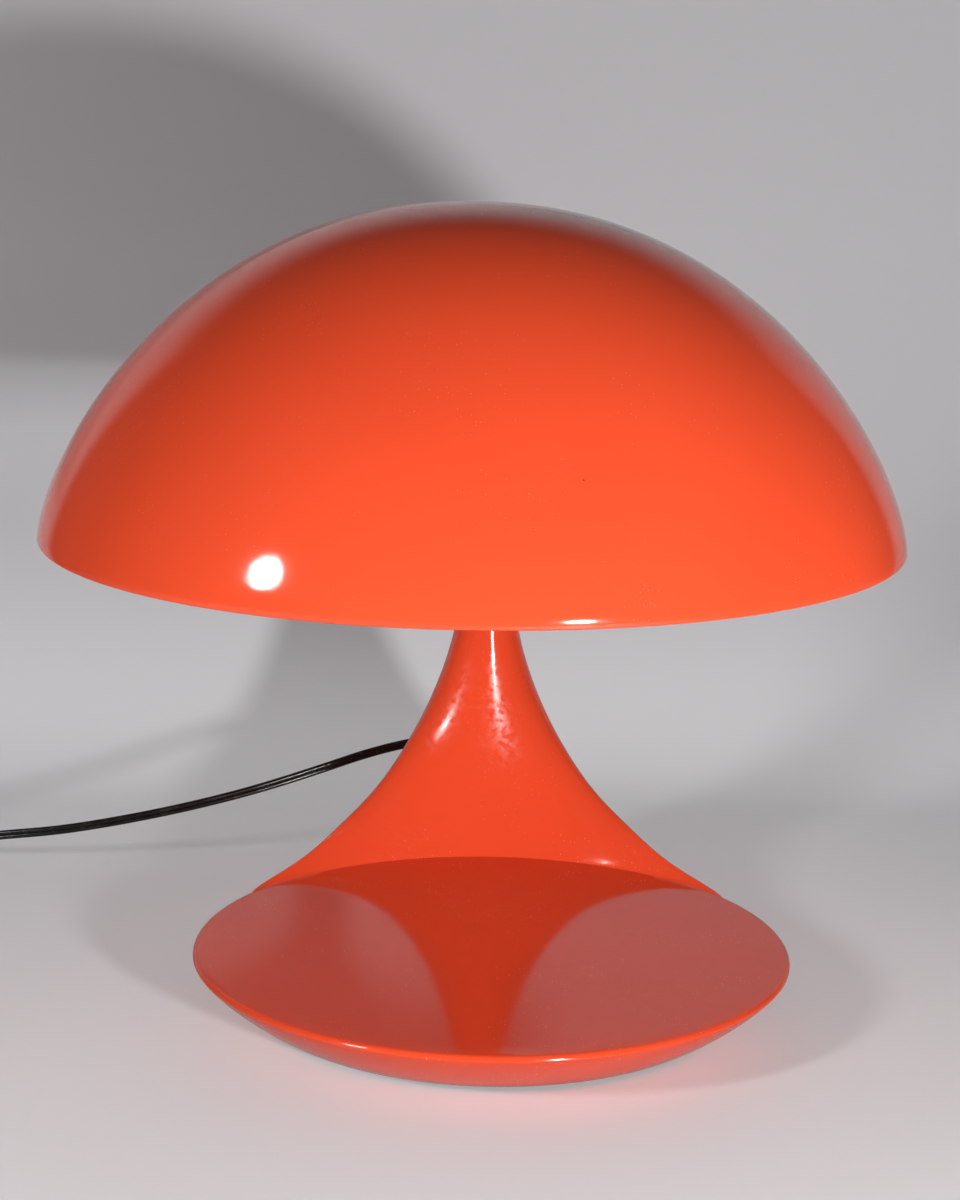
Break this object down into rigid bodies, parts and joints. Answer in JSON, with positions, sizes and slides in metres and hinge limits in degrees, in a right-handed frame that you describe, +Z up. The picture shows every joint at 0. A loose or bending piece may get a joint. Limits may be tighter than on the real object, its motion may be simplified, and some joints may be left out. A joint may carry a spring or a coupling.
{
  "type": "table lamp",
  "caption": "Table lamp whose deep dome head swivels on a slim neck rising behind a flat round plate foot, with a flat cord, in-line rocker switch and plug.",
  "frame": {"origin": "on the table under the middle of the round plate", "axes": "+Z up; +Y towards the neck behind the plate; -Y the front; +X to the right seen from the front"},
  "size_m": [0.7134, 0.5114, 0.406],
  "materials": {
    "lacquer": "glossy red-orange lacquer",
    "cover_steel": "black painted sheet",
    "foot_rubber": "matt",
    "iron": "raw casting",
    "steel": "zinc plated",
    "nylon": "natural nylon",
    "block_plastic": "off-white",
    "brass": "bright",
    "cord_rubber": "smooth black",
    "black_plastic": "smooth black",
    "bulb_glass": "frosted",
    "bulb_metal": "plain",
    "bulb_black": "plain"
  },
  "bodies": {
    "foot": {"base_shell": "lacquer", "base_cover": "cover_steel", "foot_pad": "foot_rubber", "cover_screws": "steel", "ballast_weight": "iron", "ballast_washer": "steel", "ballast_nut": "steel", "ballast_stud": "steel", "neck_bush": "nylon", "stop_pin": "steel", "friction_washer": "nylon", "cord_clamp": "steel", "clamp_screws": "steel", "terminal_block": "block_plastic", "block_screw": "steel", "terminal_screws": "brass", "cord_grommet": "cord_rubber", "riser_lead": "cord_rubber", "cord_lead": "cord_rubber", "switch_lead": "cord_rubber", "cord_coil": "cord_rubber", "plug_lead": "cord_rubber", "plug_body": "black_plastic", "plug_pins": "brass", "switch_base": "black_plastic", "switch_cover": "black_plastic", "switch_screws": "steel", "switch_axle": "steel", "switch_contacts": "brass"},
    "head": {"head_shell": "lacquer", "neck_tube": "steel", "disc_spring": "steel", "stop_washer": "steel", "friction_nuts": "steel", "head_washer": "steel", "head_nuts": "steel", "holder_bracket": "steel", "holder_nipple": "steel", "holder_nut": "steel", "holder_cap": "black_plastic", "holder_insert": "block_plastic", "holder_sleeve": "black_plastic", "holder_thread": "brass", "holder_contacts": "brass", "holder_lead": "cord_rubber", "bulb_contact": "brass", "bulb_insulator": "bulb_black", "bulb_cap": "bulb_metal", "bulb_glass": "bulb_glass"},
    "rocker": {"switch_rocker": "black_plastic"}
  },
  "joints": [
    {"name": "head_swivel", "type": "hinge", "parent": "foot", "child": "head", "pos_m": [0, 0.192, 0.195], "axis": [0, 0, 1], "range_deg": [-156.7, 163.3]},
    {"name": "switch_rocker", "type": "hinge", "parent": "foot", "child": "rocker", "pos_m": [-0.392, 0.231, 0.012], "axis": [0, 1, 0], "range_deg": [0, 16]}
  ]
}
